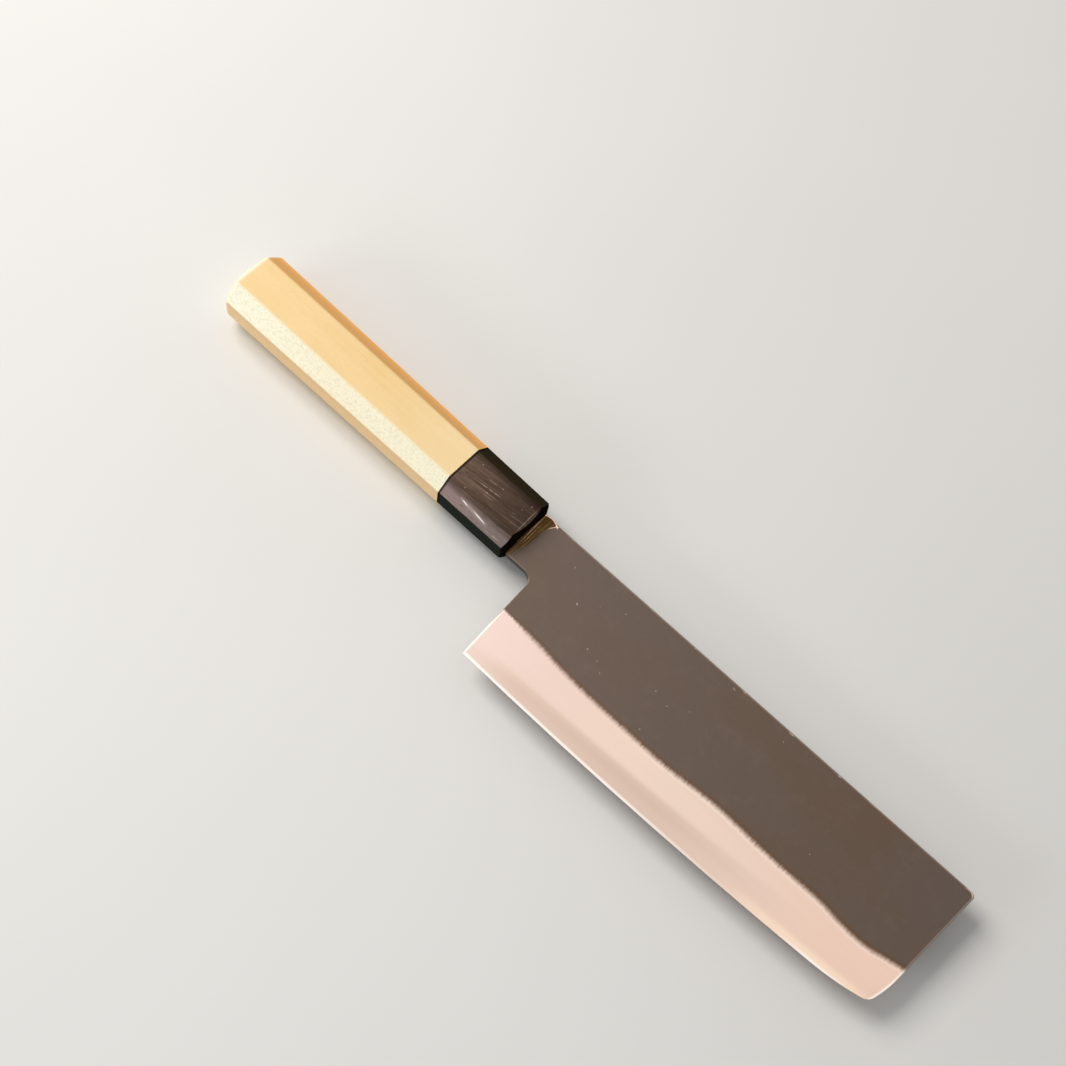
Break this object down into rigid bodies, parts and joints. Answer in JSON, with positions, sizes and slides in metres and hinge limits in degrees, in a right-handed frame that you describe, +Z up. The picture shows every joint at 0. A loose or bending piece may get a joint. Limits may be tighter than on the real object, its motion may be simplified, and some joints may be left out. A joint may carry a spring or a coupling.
{
  "type": "nakiri knife",
  "caption": "Japanese vegetable knife: tall straight blade with a squared tip, laminated steel with a dark upper face and polished bevel, on an octagonal wooden handle with a dark ferrule.",
  "frame": {"origin": "middle of the knife's bounding box in plan, on the level of the handle's lowest point as the knife lies on its side", "axes": "+X along the knife from the butt to the tip, +Y from the cutting edge to the spine, +Z up out of the face that shows in the picture, which is the right face of the blade"},
  "size_m": [0.3149, 0.0581, 0.0199],
  "materials": {
    "pale_wood": "smooth, lightly oiled pale hardwood with faint straight grain and fine flecks",
    "dark_wood": "smooth dark brown hardwood with faint streaks along the grain",
    "dowel_wood": "plain turned hardwood",
    "bedding_resin": "set amber resin",
    "core_steel": "ground and honed hard steel, fine lines along the edge",
    "cladding_steel": "dark forge scale above, polished bevel below and polished neck"
  },
  "bodies": {
    "root": {"handle_grip": "pale_wood", "ferrule": "dark_wood", "handle_dowel": "dowel_wood", "tang_bedding": "bedding_resin", "core_steel": "core_steel", "cladding_right": "cladding_steel", "cladding_left": "cladding_steel"}
  },
  "joints": []
}
